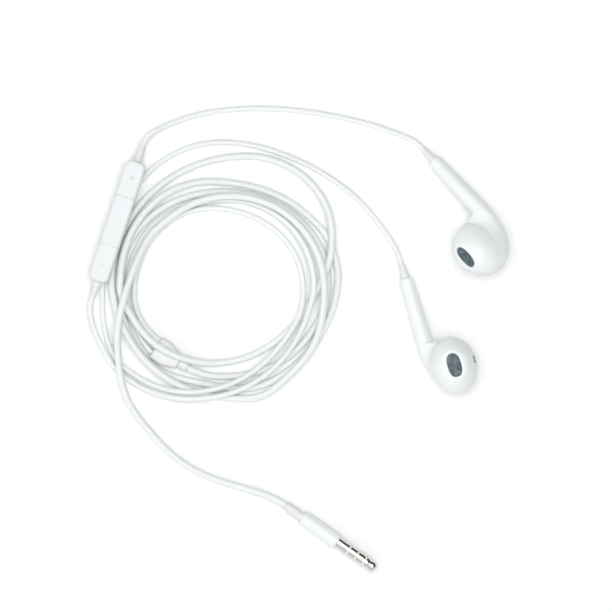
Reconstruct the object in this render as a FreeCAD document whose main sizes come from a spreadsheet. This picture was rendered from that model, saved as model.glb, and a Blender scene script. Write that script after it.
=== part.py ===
import FreeCAD, Part
import math
import os
import re
import Sketcher

os.makedirs("parts", exist_ok=True)
doc = FreeCAD.newDocument("WiredEarphones")
Vec = FreeCAD.Vector

# Sizes in millimetres and degrees, each one named once
SIZES = [
    ("fit_gap", 0.02),
    ("main_cord_diameter", 2.1),
    ("thin_cord_diameter", 1.65),
    ("relief_lip", 0.15),
    # Four pole plug
    ("pin_diameter", 3.5),
    ("pin_length", 14.0),
    ("pin_tip_length", 3.7),
    ("pin_ring_length", 2.3),
    ("pin_band_width", 0.6),
    ("pin_core_diameter", 1.6),
    ("pin_waist_diameter", 2.3),
    ("pin_nose_diameter", 1.1),
    ("pin_root_diameter", 3.1),
    ("pin_root_length", 1.8),
    ("plug_housing_length", 13.0),
    ("plug_housing_diameter", 4.8),
    ("plug_tail_diameter", 4.2),
    ("plug_edge_radius", 0.45),
    ("plug_relief_length", 6.0),
    ("plug_relief_diameter", 3.1),
    # Splitter where two thin cords join the main cord
    ("splitter_length", 8.7),
    ("splitter_entry_width", 7.4),
    ("splitter_exit_width", 4.0),
    ("splitter_thickness", 3.0),
    ("splitter_edge_radius", 0.9),
    ("splitter_cord_spacing", 4.4),
    ("splitter_relief_length", 2.9),
    ("splitter_relief_diameter", 2.9),
    ("crimp_diameter", 1.6),
    ("crimp_length", 3.0),
    # Inline remote
    ("remote_length", 38.0),
    ("remote_width", 6.2),
    ("remote_shell_height", 3.0),
    ("remote_wall", 0.8),
    ("remote_corner_radius", 2.0),
    ("remote_edge_radius", 1.3),
    ("remote_lift", 2.4),
    ("end_key_length", 11.3),
    ("key_height", 1.7),
    ("key_gap", 0.16),
    ("key_edge_radius", 0.8),
    ("key_lift", 0.4),
    ("key_travel", 0.25),
    ("key_wall", 0.7),
    ("plunger_diameter", 1.3),
    ("plunger_clearance", 0.05),
    ("board_thickness", 0.6),
    ("board_width", 4.0),
    ("board_length", 32.0),
    ("board_post_height", 0.8),
    ("dome_diameter", 2.6),
    ("dome_height", 0.4),
    ("microphone_length", 2.8),
    ("microphone_width", 1.9),
    ("microphone_height", 0.75),
    ("remote_relief_length", 4.8),
    ("remote_relief_diameter", 2.6),
    ("remote_neck_diameter", 1.9),
    ("remote_neck_length", 1.4),
    ("remote_exit_height", 1.6),
    # Earbud head and stem
    ("head_half_width", 7.0),
    ("head_half_height", 8.75),
    ("head_half_depth", 8.5),
    ("head_offset", 6.5),
    ("head_forward", 5.0),
    ("head_wall", 1.0),
    ("seam_depth", 4.4),
    ("stem_length", 29.6),
    ("stem_end_diameter", 4.3),
    ("stem_head_diameter", 5.2),
    ("stem_bore_diameter", 2.2),
    ("stem_edge_radius", 0.7),
    ("port_half_width", 2.05),
    ("port_half_height", 3.65),
    ("port_recess", 0.35),
    ("mesh_thickness", 0.35),
    ("mesh_hole_diameter", 0.62),
    ("mesh_hole_pitch", 0.98),
    ("slot_height", 2.1),
    ("slot_depth", 3.4),
    ("slot_start", 5.6),
    ("bud_relief_length", 4.4),
    ("bud_relief_diameter", 2.6),
    ("bud_neck_length", 1.6),
    # Driver inside each earbud
    ("ledge_depth", 4.0),
    ("ledge_thickness", 1.2),
    ("ledge_clearance", 0.3),
    ("basket_diameter", 11.2),
    ("basket_rim_height", 1.5),
    ("basket_wall", 0.5),
    ("yoke_height", 2.5),
    ("magnet_inset", 0.1),
    ("magnet_height", 1.4),
    ("pole_gap", 0.25),
    ("pole_height", 0.6),
    ("coil_diameter", 7.0),
    ("coil_gap", 0.3),
    ("coil_wall", 0.25),
    ("coil_height", 1.7),
    ("surround_gap", 0.2),
    ("diaphragm_thickness", 0.15),
    ("diaphragm_dome_height", 0.7),
    ("stroke", 0.2),
    ("rim_clearance", 0.15),
    # Where the pieces lie about the coil
    ("right_bud_x", 60.5),
    ("right_bud_y", 11.9),
    ("right_bud_z", 8.87),
    ("left_bud_x", 40.7),
    ("left_bud_y", -31.0),
    ("left_bud_z", 3.21),
    ("remote_x", -54.7),
    ("remote_y", 14.5),
    ("splitter_x", -33.6),
    ("splitter_y", -29.9),
    ("plug_x", 11.8),
    ("plug_y", -82.4),
    ("layout_shift", 1.67),
]

sheet = doc.addObject("Spreadsheet::Sheet", "Sizes")
for row, (alias, number) in enumerate(SIZES, start=1):
    sheet.set("A%d" % row, alias)
    sheet.set("B%d" % row, str(number))
    sheet.setAlias("B%d" % row, alias)
doc.recompute()
NAMES = {alias for alias, number in SIZES}


def tied(text):
    """The formula with each size name pointed at the sheet."""
    return re.sub(r"[a-z][a-z_]+", lambda m: "Sizes." + m.group() if m.group() in NAMES else m.group(), str(text))


def mm(text):
    """The number that a formula of sizes gives."""
    result = sheet.evalExpression(tied(text))
    return float(getattr(result, "Value", result))


def bind(thing, prop, text):
    thing.setExpression(prop, tied(text))


nodes = []
routes = {}

# The layout is drawn about the coil and moved so that the pieces centre on the origin
FRAME = FreeCAD.Placement(Vec(0, mm("layout_shift"), 0), FreeCAD.Rotation())


def node(label, thing, place=None):
    """Keep one finished sub part under its label, in its place."""
    thing.Label = label
    thing.Placement = FRAME.multiply(place) if place else FRAME
    nodes.append(thing)
    return thing


# Sketch based features

def plane_of(body, role):
    return [f for f in body.Origin.OriginFeatures if f.Role == role][0]


def outline(body, name, role, corners, lift="0"):
    """A closed sketch whose corners are tied to the sizes."""
    sk = body.newObject("Sketcher::SketchObject", name)
    sk.AttachmentSupport = [(plane_of(body, role), "")]
    sk.MapMode = "FlatFace"
    bind(sk, "AttachmentOffset.Base.z", lift)
    pts = [(mm(a), mm(b)) for a, b in corners]
    count = len(pts)
    for i in range(count):
        a, b = pts[i], pts[(i + 1) % count]
        sk.addGeometry(Part.LineSegment(Vec(a[0], a[1], 0), Vec(b[0], b[1], 0)), False)
    for i in range(count):
        sk.addConstraint(Sketcher.Constraint("Coincident", i, 2, (i + 1) % count, 1))
    for i, (a, b) in enumerate(corners):
        at = sk.addConstraint(Sketcher.Constraint("DistanceX", -1, 1, i, 1, pts[i][0]))
        bind(sk, "Constraints[%d]" % at, a)
        at = sk.addConstraint(Sketcher.Constraint("DistanceY", -1, 1, i, 1, pts[i][1]))
        bind(sk, "Constraints[%d]" % at, b)
    return sk


def ring_sketch(body, name, role, spots, diameter, lift="0"):
    """Circles of one diameter on the spots given as size formulas."""
    sk = body.newObject("Sketcher::SketchObject", name)
    sk.AttachmentSupport = [(plane_of(body, role), "")]
    sk.MapMode = "FlatFace"
    bind(sk, "AttachmentOffset.Base.z", lift)
    for i, (a, b) in enumerate(spots):
        sk.addGeometry(Part.Circle(Vec(mm(a), mm(b), 0), Vec(0, 0, 1), mm(diameter) / 2), False)
        at = sk.addConstraint(Sketcher.Constraint("Radius", i, mm(diameter) / 2))
        bind(sk, "Constraints[%d]" % at, "(%s) / 2" % diameter)
        at = sk.addConstraint(Sketcher.Constraint("DistanceX", -1, 1, i, 3, mm(a)))
        bind(sk, "Constraints[%d]" % at, a)
        at = sk.addConstraint(Sketcher.Constraint("DistanceY", -1, 1, i, 3, mm(b)))
        bind(sk, "Constraints[%d]" % at, b)
    return sk


def turned(label, corners):
    """A body turned about its own Z axis from radius and height corners."""
    body = doc.addObject("PartDesign::Body", label)
    sk = outline(body, label + "_profile", "XZ_Plane", corners)
    turn = body.newObject("PartDesign::Revolution", label + "_turn")
    turn.Profile = sk
    turn.ReferenceAxis = (sk, ["V_Axis"])
    turn.Angle = 360.0
    body.Tip = turn
    return body


def padded(body, sk, length):
    pad = body.newObject("PartDesign::Pad", sk.Name + "_pad")
    pad.Profile = sk
    bind(pad, "Length", length)
    body.Tip = pad
    return pad


def pocketed(body, sk, length, flip=False):
    cut = body.newObject("PartDesign::Pocket", sk.Name + "_cut")
    cut.Profile = sk
    cut.Reversed = flip
    bind(cut, "Length", length)
    body.Tip = cut
    return cut


def softened(body, edges, radius):
    """Round the named edges of the body's last feature."""
    base = body.Tip
    soft = body.newObject("PartDesign::Fillet", base.Name + "_soft")
    soft.Base = (base, edges)
    bind(soft, "Radius", radius)
    body.Tip = soft
    return soft


def edges_where(feature, test):
    """Names of the edges whose middle and direction pass the test."""
    doc.recompute()
    found = []
    for i, edge in enumerate(feature.Shape.Edges, start=1):
        mid = edge.valueAt((edge.FirstParameter + edge.LastParameter) / 2)
        way = edge.tangentAt((edge.FirstParameter + edge.LastParameter) / 2)
        if test(mid, way):
            found.append("Edge%d" % i)
    return found


# Primitive solids tied to the sizes

def rod(name, diameter, height, x="0", y="0", z="0"):
    part = doc.addObject("Part::Cylinder", name)
    bind(part, "Radius", "(%s) / 2" % diameter)
    bind(part, "Height", height)
    bind(part, "Placement.Base.x", x)
    bind(part, "Placement.Base.y", y)
    bind(part, "Placement.Base.z", z)
    return part


def block(name, length, width, height, x="0", y="0", z="0"):
    """A box centred on x and y, standing on z."""
    part = doc.addObject("Part::Box", name)
    bind(part, "Length", length)
    bind(part, "Width", width)
    bind(part, "Height", height)
    bind(part, "Placement.Base.x", "(%s) - (%s) / 2" % (x, length))
    bind(part, "Placement.Base.y", "(%s) - (%s) / 2" % (y, width))
    bind(part, "Placement.Base.z", z)
    return part


def joined(kind, name, base, tool):
    part = doc.addObject("Part::" + kind, name)
    part.Base = base
    part.Tool = tool
    return part


def oval(name, half_x, half_y, x, z):
    """An upright ellipse wire, longer along Y."""
    part = doc.addObject("Part::Ellipse", name)
    part.Placement.Rotation = FreeCAD.Rotation(Vec(0, 0, 1), 90)
    bind(part, "MajorRadius", half_y)
    bind(part, "MinorRadius", half_x)
    bind(part, "Placement.Base.x", x)
    bind(part, "Placement.Base.z", z)
    return part


def oval_plate(name, half_x, half_y, x, z, height):
    part = doc.addObject("Part::Extrusion", name)
    part.Base = oval(name + "_edge", half_x, half_y, x, z)
    part.DirMode = "Custom"
    part.Dir = Vec(0, 0, 1)
    part.Solid = True
    bind(part, "LengthFwd", height)
    return part


# Earbud: egg shaped head on the end of a tapering stem

EGG_LEVELS = [-0.955, -0.8, -0.5, 0.0, 0.45, 0.72, 0.865]


def egg(name, side, shrink):
    """Loft through ellipses of one egg, drawn in by a wall."""
    rings = []
    for i, level in enumerate(EGG_LEVELS):
        share = "sqrt(1 - %s * %s)" % (abs(level), abs(level))
        rings.append(oval("%s_ring_%d" % (name, i),
                          "(head_half_width - %s) * %s" % (shrink, share),
                          "(head_half_height - %s) * %s" % (shrink, share),
                          "%d * head_offset" % side,
                          "head_forward + (head_half_depth - %s) * %s" % (shrink, level)))
    loft = doc.addObject("Part::Loft", name)
    loft.Sections = rings
    loft.Solid = True
    loft.Ruled = False
    return loft


def stem(name, side):
    """Tapering stem along Y that ends in a ball inside the head."""
    cone = doc.addObject("Part::Cone", name + "_cone")
    bind(cone, "Radius1", "stem_end_diameter / 2")
    bind(cone, "Radius2", "stem_head_diameter / 2")
    bind(cone, "Height", "stem_length - stem_head_diameter / 2")
    cone.Placement.Rotation = FreeCAD.Rotation(Vec(1, 0, 0), -90)
    bind(cone, "Placement.Base.y", "-stem_length")
    soft = doc.addObject("Part::Fillet", name + "_soft")
    soft.Base = cone
    doc.recompute()
    end = [i for i, e in enumerate(cone.Shape.Edges, start=1) if e.CenterOfMass.y < -mm("stem_length") + 0.1
           and len(e.Vertexes) == 1]
    soft.Edges = [(i, mm("stem_edge_radius"), mm("stem_edge_radius")) for i in end]
    ball = doc.addObject("Part::Sphere", name + "_ball")
    ball.Placement.Rotation = FreeCAD.Rotation(Vec(0, 0, 1), Vec(side, 1, 0))
    bind(ball, "Radius", "stem_head_diameter / 2")
    bind(ball, "Placement.Base.y", "-stem_head_diameter / 2")
    return joined("Fuse", name, soft, ball)


def lying(part, y):
    """Turn an upright primitive to run along Y from a starting place."""
    part.Placement.Rotation = FreeCAD.Rotation(Vec(1, 0, 0), -90)
    bind(part, "Placement.Base.y", y)
    return part


def earbud_shells(ear, side, place):
    outer = egg(ear + "_egg", side, "0")
    inner = egg(ear + "_hollow", side, "head_wall")
    span = "4 * head_half_depth"
    middle = "%d * head_offset" % side
    doc.recompute()

    front_half = block(ear + "_front_half", span, span, span, middle, "0", "seam_depth + fit_gap")
    front = joined("Common", ear + "_front_solid", outer, front_half)
    front = joined("Cut", ear + "_front_hollowed", front, inner)
    port = oval_plate(ear + "_port", "port_half_width", "port_half_height", middle,
                      "head_forward + head_half_depth * 0.5", "head_half_depth")
    front = joined("Cut", ear + "_front_ported", front, port)
    slot = block(ear + "_slot", "head_half_width", "slot_height", "slot_depth",
                 "%d * (head_offset + head_half_width)" % side, "0", "slot_start")
    node(ear + "_front_shell", joined("Cut", ear + "_front_slotted", front, slot), place)

    rear_half = block(ear + "_rear_half", span, span, span, middle, "0", "seam_depth - " + span)
    rear = joined("Common", ear + "_rear_solid", outer, rear_half)
    rear = joined("Fuse", ear + "_rear_stemmed", rear, stem(ear + "_stem", side))
    rear = joined("Cut", ear + "_rear_hollowed", rear, inner)
    ledge = joined("Cut", ear + "_ledge",
                   rod(ear + "_ledge_disc", "2 * head_half_width - head_wall", "ledge_thickness", middle, "0",
                       "ledge_depth - ledge_thickness"),
                   rod(ear + "_ledge_bore", LEDGE_BORE, "2 * ledge_thickness", middle, "0",
                       "ledge_depth - 1.5 * ledge_thickness"))
    rear = joined("Fuse", ear + "_rear_ledged", rear, ledge)
    bore = lying(rod(ear + "_stem_bore", "stem_bore_diameter", "stem_length + head_half_height / 4"),
                 "-stem_length - 1")
    node(ear + "_rear_shell", joined("Cut", ear + "_rear_bored", rear, bore), place)


def earbud_meshes(ear, side, place):
    """Holed oval mesh in the port and a holed strip in the side slot."""
    middle = "%d * head_offset" % side
    level = EGG_LEVELS[-1]
    top = "head_forward + head_half_depth * %s - port_recess - mesh_thickness" % level
    plate = oval_plate(ear + "_mesh_plate", "port_half_width - fit_gap", "port_half_height - fit_gap",
                       middle, top, "mesh_thickness")
    pitch = mm("mesh_hole_pitch")
    hole = mm("mesh_hole_diameter") / 2
    room_x = mm("port_half_width") - 2 * hole
    room_y = mm("port_half_height") - 2 * hole
    tools = []
    for row in range(-6, 7):
        y = row * pitch * math.sin(math.radians(60))
        for col in range(-4, 5):
            x = (col + (row % 2) / 2) * pitch
            if (x / room_x) ** 2 + (y / room_y) ** 2 <= 1:
                spot = Vec(mm(middle) + x, y, mm(top) - 1)
                tools.append(Part.makeCylinder(hole, mm("mesh_thickness") + 2, spot))
    holes = doc.addObject("Part::Feature", ear + "_mesh_holes")
    holes.Shape = Part.Compound(tools)
    node(ear + "_front_grille", joined("Cut", ear + "_mesh", plate, holes), place)

    inset = "head_half_width - head_wall * 0.75"
    strip = block(ear + "_strip", "mesh_thickness", "slot_height - 2 * fit_gap", "slot_depth - 2 * fit_gap",
                  "%d * (head_offset + %s)" % (side, inset), "0", "slot_start + fit_gap")
    tools = []
    for row in range(3):
        z = mm("slot_start") + mm("slot_depth") * (row + 0.75) / 3.5
        for col in (-1, 1):
            spot = Vec(side * (mm("head_offset") + mm(inset)) - 2, col * mm("slot_height") / 5, z)
            tools.append(Part.makeCylinder(hole, 4, spot, Vec(1, 0, 0)))
    holes = doc.addObject("Part::Feature", ear + "_strip_holes")
    holes.Shape = Part.Compound(tools)
    node(ear + "_side_grille", joined("Cut", ear + "_side_mesh", strip, holes), place)


# Diameters inside the driver, each from the voice coil or the basket outward or inward by its gap
YOKE_BORE = "(coil_diameter + 2 * coil_gap)"
LEDGE_BORE = "(%s + 2 * basket_wall + 2 * ledge_clearance)" % YOKE_BORE
POLE = "(coil_diameter - 2 * coil_wall - 2 * pole_gap)"
MAGNET = "(%s - 2 * magnet_inset)" % POLE
DIAPHRAGM = "(basket_diameter - 2 * basket_wall - 2 * surround_gap)"


def driver(ear, side, place):
    """Basket with yoke, magnet, pole plate, voice coil and domed diaphragm."""
    at = place.multiply(FreeCAD.Placement(Vec(side * mm("head_offset"), 0, mm("ledge_depth")), FreeCAD.Rotation()))
    floor = "-yoke_height"
    wall = YOKE_BORE + " / 2 + basket_wall"
    node(ear + "_driver_basket", turned(ear + "_driver_basket", [
        ("0", floor), (wall, floor), (wall, "0"), ("basket_diameter / 2", "0"),
        ("basket_diameter / 2", "basket_rim_height"), ("basket_diameter / 2 - basket_wall", "basket_rim_height"),
        ("basket_diameter / 2 - basket_wall", "basket_wall"), (YOKE_BORE + " / 2", "basket_wall"),
        (YOKE_BORE + " / 2", floor + " + basket_wall"), ("0", floor + " + basket_wall")]), at)
    seat = floor + " + basket_wall"
    node(ear + "_driver_magnet", turned(ear + "_driver_magnet", [
        ("0", seat), (MAGNET + " / 2", seat), (MAGNET + " / 2", seat + " + magnet_height"),
        ("0", seat + " + magnet_height")]), at)
    seat = seat + " + magnet_height"
    node(ear + "_pole_plate", turned(ear + "_pole_plate", [
        ("0", seat), (POLE + " / 2", seat), (POLE + " / 2", seat + " + pole_height"),
        ("0", seat + " + pole_height")]), at)
    top = "basket_wall + stroke + rim_clearance"
    node(ear + "_voice_coil", turned(ear + "_voice_coil", [
        ("coil_diameter / 2 - coil_wall", top + " - coil_height"), ("coil_diameter / 2", top + " - coil_height"),
        ("coil_diameter / 2", top), ("coil_diameter / 2 - coil_wall", top)]), at)
    node(ear + "_diaphragm", turned(ear + "_diaphragm", [
        ("0", top + " + diaphragm_dome_height - diaphragm_thickness"), ("coil_diameter / 4",
                                                                      top + " + diaphragm_dome_height * 0.6"),
        ("coil_diameter / 2 - coil_wall", top), (DIAPHRAGM + " / 2", top),
        (DIAPHRAGM + " / 2", top + " + diaphragm_thickness"),
        ("coil_diameter / 2 - coil_wall", top + " + diaphragm_thickness"),
        ("coil_diameter / 4", top + " + diaphragm_dome_height * 0.6 + diaphragm_thickness"),
        ("0", top + " + diaphragm_dome_height")]), at)


def relief(label, length, wide, cord, neck, neck_length, place):
    """Tapering rubber sleeve with a neck that plugs into its housing."""
    body = turned(label, [
        ("0", "0"), ("(%s) / 2 + relief_lip" % cord, "0"), ("(%s) / 2" % wide, "(%s) * 0.8" % length),
        ("(%s) / 2" % wide, length), ("(%s) / 2 - fit_gap" % neck, length),
        ("(%s) / 2 - fit_gap" % neck, "%s + %s" % (length, neck_length)), ("0", "%s + %s" % (length, neck_length))])
    return node(label, body, place)


def bud_place(ear, heading, tilt, roll):
    """Where an earbud lies: way its stem points, its slope and its roll."""
    at = Vec(*[mm("%s_bud_%s" % (ear, axis)) for axis in "xyz"])
    turn = FreeCAD.Rotation(Vec(0, 0, 1), heading - 90)
    slope = FreeCAD.Rotation(Vec(1, 0, 0), tilt)
    spin = FreeCAD.Rotation(Vec(0, 1, 0), roll)
    return FreeCAD.Placement(at, turn.multiply(slope).multiply(spin))


def earbud(ear, side, place):
    earbud_shells(ear, side, place)
    earbud_meshes(ear, side, place)
    driver(ear, side, place)
    end = FreeCAD.Placement(Vec(0, -mm("stem_length + bud_relief_length"), 0), FreeCAD.Rotation(Vec(1, 0, 0), -90))
    at = place.multiply(end)
    relief(ear + "_cord_relief", "bud_relief_length", "bud_relief_diameter", "thin_cord_diameter",
           "stem_bore_diameter", "bud_neck_length", at)
    return at


RIGHT_BUD = bud_place("right", -47.2, 13.0, 45.0)
LEFT_BUD = bud_place("left", -73.7, 2.0, 0.0)
right_relief = earbud("right", 1, RIGHT_BUD)
left_relief = earbud("left", -1, LEFT_BUD)


# Remote: shell with three keys over a board with dome switches

def rounded_box(label, length, width, lift="0"):
    body = doc.addObject("PartDesign::Body", label)
    half, side = "(%s) / 2" % length, "(%s) / 2" % width
    sk = outline(body, label + "_plan", "XY_Plane", [
        ("-" + half, "-" + side), (half, "-" + side), (half, side), ("-" + half, side)], lift)
    return body, sk


def remote_shell(place):
    body, sk = rounded_box("remote_shell", "remote_length", "remote_width")
    pad = padded(body, sk, "remote_shell_height")
    softened(body, edges_where(pad, lambda m, w: abs(w.z) > 0.9), "remote_corner_radius")
    softened(body, edges_where(body.Tip, lambda m, w: m.z < 0.01), "remote_edge_radius")
    half = "remote_length / 2 - remote_wall"
    side = "remote_width / 2 - remote_wall"
    sk = outline(body, "remote_shell_well", "XY_Plane", [
        ("-(%s)" % half, "-(%s)" % side), (half, "-(%s)" % side), (half, side), ("-(%s)" % half, side)],
        "remote_wall")
    pocketed(body, sk, "remote_shell_height", True)
    sk = outline(body, "remote_shell_posts", "XY_Plane", [
        ("-board_length / 2", "-board_width / 4"), ("board_length / 2", "-board_width / 4"),
        ("board_length / 2", "board_width / 4"), ("-board_length / 2", "board_width / 4")], "remote_wall")
    padded(body, sk, "board_post_height")
    sk = ring_sketch(body, "remote_shell_exits", "YZ_Plane", [("0", "remote_exit_height")],
                     "remote_neck_diameter")
    cut = pocketed(body, sk, "2 * remote_length")
    cut.Midplane = True
    node("remote_shell", body, place)


def key(label, start, end, far_end, place):
    """One key cap of the row, its outer corners round at a far end."""
    body = doc.addObject("PartDesign::Body", label)
    side = "remote_width / 2"
    low = "remote_shell_height + key_lift"
    sk = outline(body, label + "_plan", "XY_Plane", [(start, "-" + side), (end, "-" + side), (end, side),
                                                   (start, side)], low)
    pad = padded(body, sk, "key_height")
    if far_end:
        corners = edges_where(pad, lambda m, w: abs(w.z) > 0.9 and m.x * far_end > mm("remote_length / 2") - 0.1)
        softened(body, corners, "remote_corner_radius")
    top = mm(low + " + key_height")
    softened(body, edges_where(body.Tip, lambda m, w: m.z > top - 0.01 and (
        abs(m.y) > mm(side) - 0.1 or abs(m.x) > mm("remote_length / 2") - mm("remote_corner_radius"))),
        "key_edge_radius")
    sk = outline(body, label + "_hollow", "XY_Plane", [
        ("%s + key_wall" % start, "-%s + key_wall" % side), ("%s - key_wall" % end, "-%s + key_wall" % side),
        ("%s - key_wall" % end, "%s - key_wall" % side), ("%s + key_wall" % start, "%s - key_wall" % side)], low)
    pocketed(body, sk, "key_height - key_wall", True)
    return body


def remote_keys(place):
    half = "remote_length / 2"
    inner = "(remote_length / 2 - end_key_length)"
    spots = {"plus_key": (inner + " + key_gap / 2", half, 1), "centre_key": ("-" + inner + " + key_gap / 2",
             inner + " - key_gap / 2", 0), "minus_key": ("-" + half, "-" + inner + " - key_gap / 2", -1)}
    for label, (start, end, far_end) in spots.items():
        body = key(label, start, end, far_end, place)
        middle = "((%s) + (%s)) / 2" % (start, end)
        drop = "remote_shell_height + key_lift + key_height - key_wall - (%s)" % DOME_TOP
        sk = ring_sketch(body, label + "_plunger", "XY_Plane", [(middle, "0")], "plunger_diameter",
                         DOME_TOP + " + key_travel + plunger_clearance")
        padded(body, sk, drop + " - key_travel - plunger_clearance")
        node(label, body, place)


BOARD_TOP = "remote_wall + board_post_height + board_thickness"
DOME_TOP = BOARD_TOP + " + dome_height"


def remote_inside(place):
    body, sk = rounded_box("circuit_board", "board_length", "board_width", "remote_wall + board_post_height")
    padded(body, sk, "board_thickness")
    node("circuit_board", body, place)
    body = doc.addObject("PartDesign::Body", "dome_switches")
    shift = "remote_length / 2 - end_key_length / 2"
    sk = ring_sketch(body, "dome_switches_plan", "XY_Plane", [("-(%s)" % shift, "0"), ("0", "0"), (shift, "0")],
                     "dome_diameter", BOARD_TOP)
    padded(body, sk, "dome_height")
    node("dome_switches", body, place)
    body = doc.addObject("PartDesign::Body", "microphone")
    left, right = "-remote_length / 5 - microphone_length / 2", "-remote_length / 5 + microphone_length / 2"
    sk = outline(body, "microphone_plan", "XY_Plane", [
        (left, "-microphone_width / 2"), (right, "-microphone_width / 2"), (right, "microphone_width / 2"),
        (left, "microphone_width / 2")], BOARD_TOP)
    padded(body, sk, "microphone_height")
    node("microphone", body, place)


REMOTE_MIDDLE = Vec(mm("remote_x"), mm("remote_y"), 0)
REMOTE_HEADING = 71.6
remote_at = FreeCAD.Placement(REMOTE_MIDDLE + Vec(0, 0, mm("remote_lift")),
                              FreeCAD.Rotation(Vec(0, 0, 1), REMOTE_HEADING))
remote_shell(remote_at)
remote_keys(remote_at)
remote_inside(remote_at)


def remote_relief(label, way):
    """Relief on one end of the remote, its thin end at the cord."""
    reach = mm("remote_length / 2 + remote_relief_length")
    spot = FreeCAD.Placement(Vec(way * reach, 0, mm("remote_exit_height")),
                             FreeCAD.Rotation(Vec(0, 1, 0), -90 * way))
    at = remote_at.multiply(spot)
    relief(label, "remote_relief_length", "remote_relief_diameter", "thin_cord_diameter",
           "remote_neck_diameter", "remote_neck_length", at)
    return at


upper_relief = remote_relief("remote_upper_relief", 1)
lower_relief = remote_relief("remote_lower_relief", -1)


# Splitter: soft wedge with two cord entries and one relief

SPLITTER_END = Vec(mm("splitter_x"), mm("splitter_y"), 0)
SPLITTER_HEADING = -33.7


def splitter():
    at = FreeCAD.Placement(SPLITTER_END, FreeCAD.Rotation(Vec(0, 0, 1), SPLITTER_HEADING))
    back = "-splitter_relief_length"
    body = doc.addObject("PartDesign::Body", "splitter_body")
    wide, slim = "splitter_entry_width / 2", "splitter_exit_width / 2"
    sk = outline(body, "splitter_plan", "XY_Plane", [
        (back + " - splitter_length", "-" + wide), (back + " - splitter_length * 0.55", "-" + wide),
        (back, "-" + slim), (back, slim), (back + " - splitter_length * 0.55", wide),
        (back + " - splitter_length", wide)], "fit_gap")
    pad = padded(body, sk, "splitter_thickness")
    softened(body, edges_where(pad, lambda m, w: True), "splitter_edge_radius")
    middle = "fit_gap + splitter_thickness / 2"
    sk = ring_sketch(body, "splitter_crimp_bore", "YZ_Plane", [("0", middle)], "crimp_diameter + 2 * fit_gap", back)
    pocketed(body, sk, "crimp_length")
    node("splitter_body", body, at)
    lie = FreeCAD.Rotation(Vec(0, 1, 0), 90)
    crimp = turned("splitter_crimp", [
        ("0", "0"), ("crimp_diameter / 2", "0"), ("crimp_diameter / 2", "crimp_length - fit_gap"),
        ("0", "crimp_length - fit_gap")])
    spot = FreeCAD.Placement(Vec(mm(back + " - crimp_length + fit_gap"), 0, mm(middle)), lie)
    node("splitter_crimp", crimp, at.multiply(spot))
    body = turned("splitter_relief", [
        ("0", "0"), ("splitter_relief_diameter / 2", "0"), ("splitter_relief_diameter / 2",
                                                           "splitter_relief_length * 0.7"),
        ("main_cord_diameter / 2 + relief_lip", "splitter_relief_length"), ("0", "splitter_relief_length")])
    node("splitter_relief", body, at.multiply(FreeCAD.Placement(Vec(mm(back), 0, mm(middle)), lie)))
    return at


splitter_at = splitter()


# Plug: four pole pin, moulded housing and relief on one axis

PLUG_SHOULDER = Vec(mm("plug_x"), mm("plug_y"), 0)
PLUG_HEADING = -35.2


def plug():
    axis = mm("plug_housing_diameter / 2 + fit_gap")
    at = FreeCAD.Placement(PLUG_SHOULDER + Vec(0, 0, axis), FreeCAD.Rotation(Vec(0, 0, 1), PLUG_HEADING).multiply(
        FreeCAD.Rotation(Vec(0, 1, 0), 90)))
    full, core = "pin_diameter / 2", "pin_core_diameter / 2 + fit_gap"
    tip = "pin_length - pin_tip_length"
    node("plug_tip", turned("plug_tip", [
        ("0", tip), (full, tip), (full, tip + " + pin_tip_length * 0.25"),
        ("pin_waist_diameter / 2", tip + " + pin_tip_length * 0.42"),
        (full + " * 0.92", tip + " + pin_tip_length * 0.62"), ("pin_nose_diameter / 2", "pin_length"),
        ("0", "pin_length")]), at)
    first = tip + " - pin_band_width - pin_ring_length"
    second = first + " - pin_band_width - pin_ring_length"
    for label, low in (("plug_ring_one", first), ("plug_ring_two", second)):
        high = low + " + pin_ring_length"
        node(label, turned(label, [(core, low), (full, low), (full, high), (core, high)]), at)
    sleeve_top = second + " - pin_band_width"
    node("plug_sleeve", turned("plug_sleeve", [
        (core, "-pin_root_length"), ("pin_root_diameter / 2", "-pin_root_length"), ("pin_root_diameter / 2", "0"),
        (full, "0"),
        (full, sleeve_top), (core, sleeve_top)]), at)
    bands = []
    for i, low in enumerate((first + " + pin_ring_length", second + " + pin_ring_length", sleeve_top)):
        outer = rod("plug_band_disc_%d" % i, "pin_diameter", "pin_band_width", "0", "0", low)
        hole = rod("plug_band_hole_%d" % i, "pin_core_diameter + 2 * fit_gap", "2 * pin_band_width", "0", "0",
                   low + " - pin_band_width / 2")
        bands.append(joined("Cut", "plug_band_%d" % i, outer, hole))
    pack = doc.addObject("Part::Compound", "plug_insulators")
    pack.Links = bands
    node("plug_insulators", pack, at)
    node("plug_core", turned("plug_core", [
        ("0", "-plug_housing_length / 2"), ("pin_core_diameter / 2", "-plug_housing_length / 2"),
        ("pin_core_diameter / 2", tip), ("0", tip)]), at)
    back = "-plug_housing_length"
    body = turned("plug_housing", [
        ("pin_core_diameter / 2 + fit_gap", back), ("plug_tail_diameter / 2", back),
        ("plug_housing_diameter / 2", back + " * 0.7"), ("plug_housing_diameter / 2", "0"),
        ("pin_root_diameter / 2 + fit_gap", "0"), ("pin_root_diameter / 2 + fit_gap", "-pin_root_length"),
        ("pin_core_diameter / 2 + fit_gap", "-pin_root_length")])
    ends = edges_where(body.Tip, lambda m, w: math.hypot(m.x, m.y) > mm("plug_tail_diameter / 2") - 0.05 and (
        m.z > -0.01 or m.z < mm(back) + 0.01))
    softened(body, ends, "plug_edge_radius")
    node("plug_housing", body, at)
    body = turned("plug_relief", [
        ("0", back + " - plug_relief_length"), ("main_cord_diameter / 2 + relief_lip", back + " - plug_relief_length"),
        ("plug_relief_diameter / 2", back + " - plug_relief_length * 0.3"), ("plug_relief_diameter / 2", back),
        ("0", back)])
    node("plug_relief", body, at)
    return at


plug_at = plug()


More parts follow.
